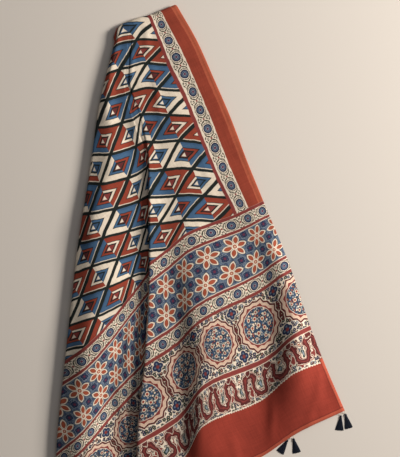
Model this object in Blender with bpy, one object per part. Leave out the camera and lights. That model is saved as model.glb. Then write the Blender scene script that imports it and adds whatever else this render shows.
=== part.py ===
"""Ajrakh dupatta of block printed cotton, laid flat in the folds of its drape, with thread tassels.

The cloth is one sheet. Its front half lies on top, with two soft folds and one tuck that opens towards
the end hem. At the left it folds under, and at the shoulder line it passes over to its back half, which
lies beneath it. Tassels of navy thread lie in pairs along the end hem.

Sizes are in millimetres and become metres as meshes are made. A place on the laid cloth is given as
right and down from the shoulder corner. A place on the flat cloth is given as u, the width from the
long edge that shows, and as the level, the length from the shoulder towards the end hem.
"""

import math

import bmesh
import bpy
import numpy as np
from mathutils import Matrix, Vector

MM = 0.001

WIDTH = 910.0
THICKNESS = 1.6
SHOULDER_LEVEL = -18.0
HEM_LEVEL = 943.0
BACK_END_LEVEL = 915.0

TOP_HEIGHT = 9.8
UNDER_HEIGHT = 6.8
BACK_UNDER_HEIGHT = 3.8
BACK_HEIGHT = 0.8
FOLD_CENTRE = 5.3
SHOULDER_BULGE = 1.6

BACK_INSET = 10.0
BACK_FOLD_INSET = 3.0
UNDER_SHARE = 0.85
LIP_DEPTH = 4.4
LIP_REACH = 3.0
HIDDEN_REACH = 10.0
HEEL_INSET = 18.0
TUCK_START = 240.0
TUCK_FULL = 330.0
LEAST_REACH = 0.5

FRONT_ROWS = 30
SHOULDER_ROWS = 4
BACK_ROWS = 9
TURN_STEPS = 4
UNDER_STEPS = 4

# Each fold line runs from the shoulder to the end hem. It has a row for each level here.
LEVELS = (-18, 76, 168, 259, 350, 442, 608, 750, 821, 943)

# Columns: u on the flat cloth, right and down on the laid cloth, rise over the height of the top layer.
FOLD_LINES = {
    "long_edge": (
        (0, 0, 0, 0),
        (0, 42, 74, 0),
        (0, 77, 153, 0),
        (0, 114, 239, 0),
        (0, 148, 329, 0),
        (0, 183, 415, -2),
        (0, 238, 549, -4),
        (0, 283, 682, -4),
        (0, 312, 758, -4),
        (0, 358, 865, -5),
    ),
    "outer_fold_crest": (
        (30, -25, 11, 1),
        (35, 13, 88, 1),
        (35, 48, 168, 1),
        (35, 84, 254, 1),
        (35, 119, 343, 1),
        (30, 160, 426, 0),
        (22, 219, 559, 6),
        (42, 249, 698, 18),
        (62, 254, 777, 22),
        (115, 256, 912, 2),
    ),
    "outer_fold_foot": (
        (58, -43, 19, 1),
        (64, -14, 99, 2),
        (66, 24, 181, 2),
        (68, 56, 267, 2),
        (70, 90, 357, 2),
        (75, 126, 442, 0),
        (75, 181, 587, -2),
        (107, 193, 747, -2),
        (150, 178, 841, -2),
        (205, 181, 963, -4),
    ),
    "inner_fold_crest": (
        (79, -58, 26, 3),
        (84, -32, 107, 3),
        (104, -15, 198, 4),
        (122, 3, 286, 5),
        (152, 18, 388, 6),
        (180, 22, 482, 8),
        (243, 39, 660, 20),
        (283, 55, 806, 26),
        (312, 52, 894, 26),
        (320, 95, 1004, 4),
    ),
    "inner_fold_foot": (
        (98, -82, 32, 3),
        (132, -74, 125, 4),
        (152, -54, 215, 4),
        (172, -35, 314, 5),
        (212, -24, 419, 5),
        (240, -20, 515, 5),
        (312, -4, 703, 5),
        (377, 6, 869, 5),
        (408, 11, 964, 5),
        (400, 54, 1058, 3),
    ),
    "tuck_lip": (
        (108, -95, 38, 4),
        (175, -104, 153, 5),
        (190, -80, 234, 6),
        (205, -62, 331, 9),
        (258, -60, 442, 12),
        (295, -59, 545, 13),
        (391, -68, 744, 13),
        (473, -85, 927, 13),
        (507, -85, 1002, 13),
        (570, -82, 1140, 8),
    ),
    "under_lip": (
        (114, -103, 41, 4),
        (190, -114, 162, 5),
        (215, -91, 255, 5),
        (239, -63, 338, 2),
        (292, -62, 461, 1),
        (350, -62, 565, 1),
        (527, -80, 792, -2),
        (690, -85, 961, -3),
        (752, -84, 1043, -3),
        (820, -83, 1154, -4),
    ),
    "valley": (
        (122, -114, 46, 4),
        (212, -131, 177, 4),
        (249, -105, 276, 2),
        (300, -88, 385, 0),
        (352, -86, 494, 0),
        (430, -87, 598, 0),
        (642, -135, 848, -3),
        (745, -129, 1006, -4),
        (800, -123, 1081, -4),
        (850, -105, 1202, -5),
    ),
    "left_crest": (
        (134, -125, 56, 5),
        (245, -151, 199, 9),
        (306, -143, 316, 14),
        (430, -178, 471, 18),
        (491, -167, 577, 20),
        (610, -194, 722, 22),
        (755, -204, 929, 22),
        (820, -187, 1064, 16),
        (850, -161, 1120, 12),
        (870, -121, 1220, 0),
    ),
    "left_fold": (
        (152, -134, 71, 2),
        (266, -166, 211, 4),
        (389, -187, 357, 5),
        (492, -211, 507, 6),
        (579, -226, 639, 6),
        (662, -238, 754, 6),
        (832, -258, 976, 4),
        (890, -243, 1118, 2),
        (890, -201, 1159, 1),
        (890, -138, 1238, 1),
    ),
}

# Columns: name of a fold line, mesh steps from the line before it.
RIGHT_RUN = (
    ("long_edge", 0),
    ("outer_fold_crest", 3),
    ("outer_fold_foot", 3),
    ("inner_fold_crest", 4),
    ("inner_fold_foot", 4),
    ("tuck_lip", 4),
)
LEFT_RUN = (("under_lip", 0), ("valley", 3), ("left_crest", 3), ("left_fold", 4))

# Columns: share of the reach of the tuck, share of the lip depth from the lip's top, which end it is at.
TUCK_COURSE = (
    (0.25, 0.16, "lip"),
    (0.0, 0.5, "lip"),
    (0.25, 0.84, "lip"),
    (1.0, 1.0, "lip"),
    (-1.0, 1.0, "heel"),
    (-0.25, 0.84, "heel"),
    (0.0, 0.5, "heel"),
    (-0.25, 0.16, "heel"),
    (-1.0, 0.0, "heel"),
)

# The back half has no tuck, so it has the steps of the tuck between the lip and the valley.
TUCK_STEPS = len(TUCK_COURSE) + 1
BACK_RUN = RIGHT_RUN + (("valley", TUCK_STEPS + 3), ("left_crest", 3), ("left_fold", 4))

TASSEL_PITCH = 130.0
PAIR_GAP = 8.0
HEM_GAP = 0.4
HEM_PROBE = 4.0
THREAD_LENGTH = 7.0
THREAD_WIDTH = 1.3
HEAD_LENGTH = 7.0
HEAD_WIDTH = 4.8
HEAD_HEIGHT = 3.2
NECK_WIDTH = 4.0
NECK_LENGTH = 1.5
STRAND_LENGTH = 26.0
STRAND_KNEE = 0.45
SIDE_SHORTER = 2.0
LAYER_SHORTER = 1.0
SKIRT_WIDTH = 7.2
SKIRT_HEIGHT = 2.8
FAN_WIDTH = 18.0
STRANDS_ACROSS = 5
STRAND_LAYERS = 2
STRAND_GAP = 0.28

# Columns: pair number along the hem, headings in degrees. Numbers 5 and 6 would lie inside the tuck.
TASSEL_PAIRS = (
    (0, -76.0, -96.0),
    (1, -77.0, -122.0),
    (2, -84.0, -104.0),
    (3, -78.0, -104.0),
    (4, -70.0, -92.0),
    (7, -58.0, -84.0),
)


def steep_curve(knots, values, at):
    """Smooth curve through values at knots that never swings past a value, read at the places at."""
    knots = np.asarray(knots, float)
    values = np.asarray(values, float)
    gaps = np.diff(knots)
    slopes = np.diff(values, axis=0) / gaps[:, None]
    tangents = np.zeros_like(values)
    tangents[0] = slopes[0]
    tangents[-1] = slopes[-1]
    for i in range(1, len(knots) - 1):
        before, after = slopes[i - 1], slopes[i]
        same = before * after > 0
        near = 2 * gaps[i] + gaps[i - 1]
        far = gaps[i] + 2 * gaps[i - 1]
        safe_before = np.where(same, before, 1.0)
        safe_after = np.where(same, after, 1.0)
        mean = (near + far) / (near / safe_before + far / safe_after)
        tangents[i] = np.where(same, mean, 0.0)
    at = np.clip(np.atleast_1d(at), knots[0], knots[-1])
    left = np.clip(np.searchsorted(knots, at, side="right") - 1, 0, len(gaps) - 1)
    step = gaps[left][:, None]
    t = ((at - knots[left]) / gaps[left])[:, None]
    start = values[left] * (2 * t**3 - 3 * t**2 + 1)
    end = values[left + 1] * (3 * t**2 - 2 * t**3)
    bend = tangents[left] * (t**3 - 2 * t**2 + t) + tangents[left + 1] * (t**3 - t**2)
    return start + end + bend * step


def fold_point(name, level):
    """u, right, down and rise of a fold line where it crosses a level of the cloth."""
    return steep_curve(LEVELS, FOLD_LINES[name], level)[0]


def run_points(course, level):
    """Points of a smooth run of the cloth through the fold lines of a course, at one level."""
    knots = np.array([fold_point(name, level) for name, _ in course])
    reach = np.hypot(*np.diff(knots[:, 1:3], axis=0).T)
    places = np.concatenate([[0.0], np.cumsum(np.maximum(reach, LEAST_REACH))])
    at = [0.0]
    for (start, end), (_, steps) in zip(zip(places[:-1], places[1:]), course[1:]):
        at.extend(start + (end - start) * (k + 1) / steps for k in range(steps))
    return steep_curve(places, knots, at)


def smooth_step(low, high, value):
    """0 below low, 1 above high, and a smooth rise between them."""
    t = min(max((value - low) / (high - low), 0.0), 1.0)
    return t * t * (3 - 2 * t)


def tuck_points(lip, under, before, opened):
    """Points of the tuck from its lip, back under the cloth to its heel, and out to the left layer.

    lip and under are the last point of the right layer and the first of the left one. opened runs
    from 0, where the cloth only slopes down, to 1, where the tuck is pressed in.
    """
    right = before[1:3] - lip[1:3]
    right = right / np.linalg.norm(right)
    hidden = (under[0] - lip[0]) / 2
    deep = min(LIP_DEPTH, (lip[3] - under[3]) / 2)
    towards_hem = np.array([-right[1], right[0]])
    heel = lip[1:3] + right * max(hidden, HIDDEN_REACH) - towards_hem * HEEL_INSET
    points = []
    for index, (reach, depth, end) in enumerate(TUCK_COURSE):
        share = (index + 1) / TUCK_STEPS
        plain = lip + (under - lip) * share
        if end == "lip":
            place = lip[1:3] + right * (reach - 1.0) * LIP_REACH
            rise = lip[3] - depth * deep
        else:
            place = heel + right * reach * LIP_REACH
            rise = under[3] + depth * deep
        right_down = plain[1:3] + (place - plain[1:3]) * opened
        points.append([plain[0], *right_down, rise])
    return np.array(points)


def under_points(row, height_gap):
    """Turn at the left fold, and the width that lies under a row of the cloth, without its tuck."""
    left_end = row[-1]
    back = row[::-1, 1:3]
    reach = np.concatenate([[0.0], np.cumsum(np.hypot(*np.diff(back, axis=0).T))])
    width = min(WIDTH - left_end[0], UNDER_SHARE * reach[-1])
    inward = (back[1] - back[0]) / reach[1]
    radius = height_gap / 2
    points = []
    for k in range(1, TURN_STEPS + 1):
        angle = math.pi * k / TURN_STEPS
        place = left_end[1:3] - inward * abs(radius) * math.sin(angle)
        points.append([left_end[0], place[0], place[1], left_end[3] - radius * (1 - math.cos(angle))])
    for k in range(1, UNDER_STEPS + 1):
        right, down = (np.interp(width * k / UNDER_STEPS, reach, back[:, axis]) for axis in (0, 1))
        share = left_end[0] + (WIDTH - left_end[0]) * k / UNDER_STEPS
        points.append([share, right, down, left_end[3] - height_gap])
    return np.array(points)


def front_row(level):
    """One row of the front half: right layer, tuck, left layer, turn and the width turned under."""
    right = run_points(RIGHT_RUN, level)
    left = run_points(LEFT_RUN, level)
    opened = smooth_step(TUCK_START, TUCK_FULL, level)
    tuck = tuck_points(right[-1], left[0], right[-3], opened)
    right[:, 3] += TOP_HEIGHT
    tuck[:, 3] += TOP_HEIGHT
    left[:, 3] += TOP_HEIGHT
    under = under_points(np.vstack([right, left]), left[-1, 3] - UNDER_HEIGHT)
    return np.vstack([right, tuck, left, under])


def back_row(level):
    """One row of the back half, which lies flat and a little inside the front half."""
    row = run_points(BACK_RUN, level)
    chord = row[-1, 1:3] - row[0, 1:3]
    span = np.linalg.norm(chord)
    along = (row[:, 1:3] - row[0, 1:3]) @ chord / span**2
    shift = (BACK_INSET - (BACK_INSET + BACK_FOLD_INSET) * along) / span
    row[:, 1:3] += np.outer(shift, chord)
    row[:, 3] = BACK_HEIGHT
    return np.vstack([row, under_points(row, BACK_HEIGHT - BACK_UNDER_HEIGHT)])


def shoulder_row(turn):
    """One row of the turn over the shoulder line; turn runs from 0, in front, to 1, at the back."""
    front = front_row(SHOULDER_LEVEL)
    back = back_row(SHOULDER_LEVEL)
    angle = math.pi * turn
    mix = (1 - math.cos(angle)) / 2
    row = front + (back - front) * mix
    front_lift = front[:, 3] - FOLD_CENTRE
    back_lift = FOLD_CENTRE - back[:, 3]
    lift = front_lift + (back_lift - front_lift) * mix
    chord = front[0, 1:3] - front[len(front) - TURN_STEPS - UNDER_STEPS - 1, 1:3]
    outward = np.array([chord[1], -chord[0]]) / np.linalg.norm(chord)
    if outward[1] > 0:
        outward = -outward
    row[:, 1:3] += np.outer(lift * SHOULDER_BULGE * math.sin(angle), outward)
    row[:, 3] = FOLD_CENTRE + lift * math.cos(angle)
    return row


def cloth_rows():
    """All rows of the sheet, from the end hem over the shoulder to the end of the back half."""
    rows = [front_row(level) for level in np.linspace(HEM_LEVEL, SHOULDER_LEVEL, FRONT_ROWS + 1)]
    rows += [shoulder_row((k + 1) / SHOULDER_ROWS) for k in range(SHOULDER_ROWS)]
    levels = np.linspace(SHOULDER_LEVEL, BACK_END_LEVEL, BACK_ROWS + 1)[1:]
    rows += [back_row(level) for level in levels]
    return np.array(rows)


def to_world(point):
    """Blender place of a point given as u, right, down and height."""
    return Vector((point[1] * MM, -point[2] * MM, point[3] * MM))


def cloth_mesh():
    """Middle surface of the whole sheet as a grid, ready to be given its thickness."""
    rows = cloth_rows()
    count_down, count_across = rows.shape[:2]
    bm = bmesh.new()
    bmesh.ops.create_grid(bm, x_segments=count_across - 1, y_segments=count_down - 1, size=0.5)
    bm.verts.ensure_lookup_table()
    for vert in bm.verts:
        column = round((vert.co.x + 0.5) * (count_across - 1))
        row = round((vert.co.y + 0.5) * (count_down - 1))
        vert.co = to_world(rows[row, column])
    bmesh.ops.triangulate(bm, faces=bm.faces[:], quad_method="SHORT_EDGE")
    mesh = bpy.data.meshes.new("cloth")
    bm.to_mesh(mesh)
    bm.free()
    return mesh


def tassel_shape(hem_height):
    """Tassel along +X on the floor: thread from the hem, bound head, and strands that stand apart.

    The thread starts at the origin's X and Y, at the height of the hem.
    """
    skirt_at = THREAD_LENGTH + HEAD_LENGTH
    bm = bmesh.new()
    bmesh.ops.create_grid(bm, x_segments=STRANDS_ACROSS, y_segments=STRAND_LAYERS, size=0.5)
    for vert in bm.verts:
        vert.co = Vector((skirt_at, vert.co.x * SKIRT_WIDTH, (vert.co.y + 0.5) * SKIRT_HEIGHT))
    roots = bm.faces[:]
    rings = (
        (skirt_at - NECK_LENGTH, NECK_WIDTH, SKIRT_HEIGHT, 0.0),
        (skirt_at - HEAD_LENGTH / 2, HEAD_WIDTH, HEAD_HEIGHT, 0.0),
        (THREAD_LENGTH, THREAD_WIDTH, THREAD_WIDTH, (HEAD_HEIGHT - THREAD_WIDTH) / 2),
        (0.0, THREAD_WIDTH, THREAD_WIDTH, hem_height - THREAD_WIDTH / 2),
    )
    moved = roots
    width, height, base = SKIRT_WIDTH, SKIRT_HEIGHT, 0.0
    for number, (place, ring_width, ring_height, ring_base) in enumerate(rings):
        grown = bmesh.ops.extrude_face_region(bm, geom=moved)["geom"]
        if number > 0:
            bmesh.ops.delete(bm, geom=moved, context="FACES")
        moved = [item for item in grown if isinstance(item, bmesh.types.BMFace)]
        for vert in (item for item in grown if isinstance(item, bmesh.types.BMVert)):
            across = vert.co.y / width * ring_width
            vert.co = Vector((place, across, (vert.co.z - base) / height * ring_height + ring_base))
        width, height, base = ring_width, ring_height, ring_base
    bmesh.ops.dissolve_faces(bm, faces=moved)
    bmesh.ops.recalc_face_normals(bm, faces=bm.faces[:])
    add_strands(bm, roots, skirt_at)
    bmesh.ops.triangulate(bm, faces=bm.faces[:])
    return bm


def add_strands(bm, roots, skirt_at):
    """Grow one strand from each root face, fanned out and level on the floor."""
    bmesh.ops.inset_individual(bm, faces=roots, thickness=STRAND_GAP / 2)
    spread = 1.0
    for part, drop in ((STRAND_KNEE, STRAND_GAP / 2), (1.0, 0.0)):
        wider = 1.0 + (FAN_WIDTH / SKIRT_WIDTH - 1.0) * part
        roots = bmesh.ops.extrude_discrete_faces(bm, faces=roots)["faces"]
        for face in roots:
            centre = face.calc_center_median()
            across = centre.y / spread
            shorter = SIDE_SHORTER * abs(across) / SKIRT_WIDTH
            shorter += LAYER_SHORTER if centre.z > SKIRT_HEIGHT / 2 else 0.0
            target = Vector((skirt_at + (STRAND_LENGTH - shorter) * part, across * wider, centre.z - drop))
            bmesh.ops.translate(bm, verts=face.verts[:], vec=target - centre)
        spread = wider


def hem_point(u):
    """Point of the front half's end hem that lies at u on the flat cloth, seen from above."""
    row = front_row(HEM_LEVEL)
    top = row[: len(row) - UNDER_STEPS - TURN_STEPS]
    u = min(max(u, top[0, 0]), top[-1, 0])
    after = int(np.clip(np.searchsorted(top[:, 0], u), 1, len(top) - 1))
    before = after - 1
    share = (u - top[before, 0]) / (top[after, 0] - top[before, 0])
    return top[before] + (top[after] - top[before]) * share


def hem_outward(u):
    """Unit vector that points away from the cloth at the end hem, seen from above."""
    along = hem_point(u + HEM_PROBE) - hem_point(u - HEM_PROBE)
    return Vector((along[2], along[1], 0.0)).normalized()


def tassel_mesh(name, u, heading):
    """Mesh of one tassel, laid from the hem at u with its skirt towards the heading, in degrees."""
    point = hem_point(u)
    outward = hem_outward(u)
    direction = Vector((math.cos(math.radians(heading)), math.sin(math.radians(heading)), 0.0))
    clearance = HEM_GAP + THREAD_WIDTH / 2 * outward.cross(direction).length
    place = Vector((point[1], -point[2], 0.0)) + outward * clearance
    turn = Matrix.Rotation(math.radians(heading), 4, "Z")
    bm = tassel_shape(point[3])
    bmesh.ops.transform(bm, matrix=Matrix.Scale(MM, 4) @ Matrix.Translation(place) @ turn, verts=bm.verts[:])
    mesh = bpy.data.meshes.new(name)
    bm.to_mesh(mesh)
    bm.free()
    return mesh


def make_material(name, colour, roughness):
    """Plain cloth or thread material."""
    material = bpy.data.materials.new(name)
    material.use_nodes = True
    shader = material.node_tree.nodes["Principled BSDF"]
    shader.inputs["Base Color"].default_value = (*colour, 1.0)
    shader.inputs["Roughness"].default_value = roughness
    return material


def add_object(name, mesh, material):
    """Link a mesh to the scene under a name, with its material."""
    mesh.materials.append(material)
    piece = bpy.data.objects.new(name, mesh)
    bpy.context.collection.objects.link(piece)
    return piece


def cloth_piece(material):
    """The cloth with its thickness, as one closed mesh."""
    cloth = add_object("cloth", cloth_mesh(), material)
    solidify = cloth.modifiers.new("Thickness", "SOLIDIFY")
    solidify.thickness = THICKNESS * MM
    solidify.offset = 0.0
    thick = bpy.data.meshes.new_from_object(cloth.evaluated_get(bpy.context.evaluated_depsgraph_get()))
    cloth.modifiers.clear()
    cloth.data = thick
    return cloth


def tassel_pieces(material):
    """All tassels, two for each pair: a is the one nearer the corner of the long edge."""
    pieces = []
    last = fold_point("left_fold", HEM_LEVEL)[0] - PAIR_GAP / 2 - HEM_PROBE
    for number, first_heading, second_heading in TASSEL_PAIRS:
        middle = min(max(number * TASSEL_PITCH, PAIR_GAP / 2), last)
        for letter, side, heading in (("a", -0.5, first_heading), ("b", 0.5, second_heading)):
            name = f"tassel_{number + 1}{letter}"
            mesh = tassel_mesh(name, middle + side * PAIR_GAP, heading)
            pieces.append(add_object(name, mesh, material))
    return pieces


def centre_on_floor(pieces):
    """Move the meshes so that the origin is in the middle of their box, at its bottom."""
    corners = np.array([vert.co for piece in pieces for vert in piece.data.vertices])
    low, high = corners.min(axis=0), corners.max(axis=0)
    middle = Vector(((low[0] + high[0]) / 2, (low[1] + high[1]) / 2, low[2]))
    for piece in pieces:
        piece.data.transform(Matrix.Translation(-middle))


def main():
    """Build the cloth and its tassels, and set them on the floor around the origin."""
    for old in list(bpy.data.objects):
        bpy.data.objects.remove(old, do_unlink=True)
    cotton = make_material("printed_cotton", (0.36, 0.07, 0.04), 0.85)
    thread = make_material("navy_thread", (0.008, 0.012, 0.03), 0.8)
    centre_on_floor([cloth_piece(cotton)] + tassel_pieces(thread))


main()
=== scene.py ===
"""Looks of an ajrakh dupatta: block printed cotton laid in its folds, with navy thread tassels.

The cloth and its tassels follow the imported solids. The block print is drawn by nodes on the flat cloth's
own coordinates: u is the width from the long edge that shows, and the level is the length from the
shoulder line towards the end hem. Sizes are in millimetres, and meshes are made in metres.
"""

import logging
import math
import random
from dataclasses import dataclass, field
from enum import Enum
from typing import Any, Iterable, Sequence

import bmesh
import bpy
import numpy as np
from mathutils import Matrix, Vector, noise


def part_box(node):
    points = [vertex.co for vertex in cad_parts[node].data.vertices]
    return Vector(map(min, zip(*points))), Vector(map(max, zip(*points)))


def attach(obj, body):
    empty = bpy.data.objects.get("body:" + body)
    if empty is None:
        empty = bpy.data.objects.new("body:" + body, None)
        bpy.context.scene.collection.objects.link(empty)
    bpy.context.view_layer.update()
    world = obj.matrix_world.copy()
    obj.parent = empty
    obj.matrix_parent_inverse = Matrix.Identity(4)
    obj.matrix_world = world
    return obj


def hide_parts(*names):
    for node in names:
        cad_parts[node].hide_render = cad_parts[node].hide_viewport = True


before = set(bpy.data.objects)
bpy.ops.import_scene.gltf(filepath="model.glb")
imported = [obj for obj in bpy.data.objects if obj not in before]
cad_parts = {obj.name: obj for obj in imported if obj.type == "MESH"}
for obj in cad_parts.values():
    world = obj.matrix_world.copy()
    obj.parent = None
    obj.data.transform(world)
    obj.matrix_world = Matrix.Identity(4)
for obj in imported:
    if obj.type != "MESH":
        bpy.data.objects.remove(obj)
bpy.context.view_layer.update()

LOG = logging.getLogger("ajrakh")
MM = 0.001
BODY = "root"

PHOTO_WIDTH = 400
PHOTO_HEIGHT = 457

# Each fold line runs from the shoulder to the end hem. It has a row for each level here.
LEVELS = (-18, 76, 168, 259, 350, 442, 608, 750, 821, 943)

# Columns: u on the flat cloth, right and down on the laid cloth, rise over the height of the top layer.
FOLD_LINES = {
    "long_edge": (
        (0, 0, 0, 0),
        (0, 42, 74, 0),
        (0, 77, 153, 0),
        (0, 114, 239, 0),
        (0, 148, 329, 0),
        (0, 183, 415, -2),
        (0, 238, 549, -4),
        (0, 283, 682, -4),
        (0, 312, 758, -4),
        (0, 358, 865, -5),
    ),
    "outer_fold_crest": (
        (30, -25, 11, 1),
        (35, 13, 88, 1),
        (35, 48, 168, 1),
        (35, 84, 254, 1),
        (35, 119, 343, 1),
        (30, 160, 426, 0),
        (22, 219, 559, 6),
        (42, 249, 698, 18),
        (62, 254, 777, 22),
        (115, 256, 912, 2),
    ),
    "outer_fold_foot": (
        (58, -43, 19, 1),
        (64, -14, 99, 2),
        (66, 24, 181, 2),
        (68, 56, 267, 2),
        (70, 90, 357, 2),
        (75, 126, 442, 0),
        (75, 181, 587, -2),
        (107, 193, 747, -2),
        (150, 178, 841, -2),
        (205, 181, 963, -4),
    ),
    "inner_fold_crest": (
        (79, -58, 26, 3),
        (84, -32, 107, 3),
        (104, -15, 198, 4),
        (122, 3, 286, 5),
        (152, 18, 388, 6),
        (180, 22, 482, 8),
        (243, 39, 660, 20),
        (283, 55, 806, 26),
        (312, 52, 894, 26),
        (320, 95, 1004, 4),
    ),
    "inner_fold_foot": (
        (98, -82, 32, 3),
        (132, -74, 125, 4),
        (152, -54, 215, 4),
        (172, -35, 314, 5),
        (212, -24, 419, 5),
        (240, -20, 515, 5),
        (312, -4, 703, 5),
        (377, 6, 869, 5),
        (408, 11, 964, 5),
        (400, 54, 1058, 3),
    ),
    "tuck_lip": (
        (108, -95, 38, 4),
        (175, -104, 153, 5),
        (190, -80, 234, 6),
        (205, -62, 331, 9),
        (258, -60, 442, 12),
        (295, -59, 545, 13),
        (391, -68, 744, 13),
        (473, -85, 927, 13),
        (507, -85, 1002, 13),
        (570, -82, 1140, 8),
    ),
    "under_lip": (
        (114, -103, 41, 4),
        (190, -114, 162, 5),
        (215, -91, 255, 5),
        (239, -63, 338, 2),
        (292, -62, 461, 1),
        (350, -62, 565, 1),
        (527, -80, 792, -2),
        (690, -85, 961, -3),
        (752, -84, 1043, -3),
        (820, -83, 1154, -4),
    ),
    "valley": (
        (122, -114, 46, 4),
        (212, -131, 177, 4),
        (249, -105, 276, 2),
        (300, -88, 385, 0),
        (352, -86, 494, 0),
        (430, -87, 598, 0),
        (642, -135, 848, -3),
        (745, -129, 1006, -4),
        (800, -123, 1081, -4),
        (850, -105, 1202, -5),
    ),
    "left_crest": (
        (134, -125, 56, 5),
        (245, -151, 199, 9),
        (306, -143, 316, 14),
        (430, -178, 471, 18),
        (491, -167, 577, 20),
        (610, -194, 722, 22),
        (755, -204, 929, 22),
        (820, -187, 1064, 16),
        (850, -161, 1120, 12),
        (870, -121, 1220, 0),
    ),
    "left_fold": (
        (152, -134, 71, 2),
        (266, -166, 211, 4),
        (389, -187, 357, 5),
        (492, -211, 507, 6),
        (579, -226, 639, 6),
        (662, -238, 754, 6),
        (832, -258, 976, 4),
        (890, -243, 1118, 2),
        (890, -201, 1159, 1),
        (890, -138, 1238, 1),
    ),
}

# Columns: name of a fold line, mesh steps from the line before it.
RIGHT_RUN = (
    ("long_edge", 0),
    ("outer_fold_crest", 16),
    ("outer_fold_foot", 14),
    ("inner_fold_crest", 18),
    ("inner_fold_foot", 14),
    ("tuck_lip", 14),
)
LEFT_RUN = (("under_lip", 0), ("valley", 12), ("left_crest", 14), ("left_fold", 14))
TUCK_STEPS = 30

# The back half has no tuck, so it has the steps of the tuck between the lip and the valley.
BACK_RUN = RIGHT_RUN + (("valley", TUCK_STEPS + 12), ("left_crest", 14), ("left_fold", 14))

# Columns: share of the reach of the tuck, share of the lip depth from the lip's top, which end it is at.
TUCK_COURSE = (
    (0.25, 0.16, "lip"),
    (0.0, 0.5, "lip"),
    (0.25, 0.84, "lip"),
    (1.0, 1.0, "lip"),
    (-1.0, 1.0, "heel"),
    (-0.25, 0.84, "heel"),
    (0.0, 0.5, "heel"),
    (-0.25, 0.16, "heel"),
    (-1.0, 0.0, "heel"),
)

# Soft ridges pressed into the top layer. Columns: u, level, half length, heading on the flat cloth in
# degrees from the width, height, half width.
CREASES = (
    (30, 870, 70, 78, 2.4, 9),
    (60, 905, 60, 60, 1.6, 7),
    (150, 880, 70, 74, 2.2, 10),
    (255, 900, 60, 84, 2.0, 9),
    (140, 700, 120, 86, 1.6, 12),
    (330, 720, 120, 80, 1.8, 12),
    (120, 560, 110, 82, 1.4, 11),
    (210, 600, 120, 76, 1.6, 11),
    (95, 330, 120, 88, 1.0, 9),
    (130, 150, 80, 80, 1.8, 8),
    (160, 60, 60, 70, 1.6, 7),
    (100, 20, 40, 84, 1.8, 7),
    (520, 520, 120, 62, 2.2, 12),
    (640, 640, 120, 66, 2.0, 12),
)

# Columns: pair number along the hem, headings in degrees. Two more pairs would lie inside the tuck.
TASSEL_PAIRS = (
    (0, -76.0, -96.0),
    (1, -77.0, -122.0),
    (2, -84.0, -104.0),
    (3, -78.0, -104.0),
    (4, -70.0, -92.0),
    (7, -58.0, -84.0),
)


def steep_curve(knots: Sequence[float], values: Any, at: Any) -> np.ndarray:
    """Read a smooth curve through values at knots that never swings past a value.

    Args:
        knots: Rising places of the values.
        values: One row of numbers for each knot.
        at: Places where the curve is read.

    Returns:
        One row of numbers for each place in at.
    """
    knots = np.asarray(knots, float)
    values = np.asarray(values, float)
    gaps = np.diff(knots)
    slopes = np.diff(values, axis=0) / gaps[:, None]
    tangents = np.zeros_like(values)
    tangents[0] = slopes[0]
    tangents[-1] = slopes[-1]
    for i in range(1, len(knots) - 1):
        before, after = slopes[i - 1], slopes[i]
        same = before * after > 0
        near = 2 * gaps[i] + gaps[i - 1]
        far = gaps[i] + 2 * gaps[i - 1]
        safe_before = np.where(same, before, 1.0)
        safe_after = np.where(same, after, 1.0)
        mean = (near + far) / (near / safe_before + far / safe_after)
        tangents[i] = np.where(same, mean, 0.0)
    at = np.clip(np.atleast_1d(at), knots[0], knots[-1])
    left = np.clip(np.searchsorted(knots, at, side="right") - 1, 0, len(gaps) - 1)
    step = gaps[left][:, None]
    t = ((at - knots[left]) / gaps[left])[:, None]
    start = values[left] * (2 * t**3 - 3 * t**2 + 1)
    end = values[left + 1] * (3 * t**2 - 2 * t**3)
    bend = tangents[left] * (t**3 - 2 * t**2 + t) + tangents[left + 1] * (t**3 - t**2)
    return start + end + bend * step


def smooth_step(low: float, high: float, value: float) -> float:
    """Rise smoothly from 0 at low to 1 at high.

    Args:
        low: Value where the rise starts.
        high: Value where it ends.
        value: Value that is read.

    Returns:
        A share from 0 to 1.
    """
    t = min(max((value - low) / (high - low), 0.0), 1.0)
    return t * t * (3 - 2 * t)


def linear(colour: str) -> tuple[float, float, float, float]:
    """Turn an sRGB hex colour into the linear colour that a shader takes.

    Args:
        colour: Six hex digits after a hash sign.

    Returns:
        Red, green, blue and an alpha of 1.
    """
    shares = [int(colour[i : i + 2], 16) / 255 for i in (1, 3, 5)]
    red, green, blue = (c / 12.92 if c <= 0.04045 else ((c + 0.055) / 1.055) ** 2.4 for c in shares)
    return red, green, blue, 1.0


def add_node(
    tree: bpy.types.NodeTree,
    kind: str,
    inputs: Any = (),
    stops: Iterable[tuple[float, str]] = (),
    output: int | str = 0,
    **settings: Any,
) -> bpy.types.NodeSocket:
    """Add one node with its settings and links.

    Args:
        tree: Node tree of the material.
        kind: Node type without its common first word.
        inputs: Sockets or values, in order or by socket name.
        stops: Places and colours of a colour ramp.
        output: Which output is given back.
        settings: Properties of the node.

    Returns:
        The output socket.
    """
    node = tree.nodes.new("ShaderNode" + kind)
    for name, value in settings.items():
        setattr(node, name, value)
    for socket, value in inputs.items() if isinstance(inputs, dict) else enumerate(inputs):
        if isinstance(value, bpy.types.NodeSocket):
            tree.links.new(value, node.inputs[socket])
        else:
            node.inputs[socket].default_value = value
    for number, (place, colour) in enumerate(stops):
        ramp = node.color_ramp
        ramp.interpolation = "CONSTANT"
        element = ramp.elements[number] if number < 2 else ramp.elements.new(place)
        element.position = place
        element.color = linear(colour)
    return node.outputs[output]


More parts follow.
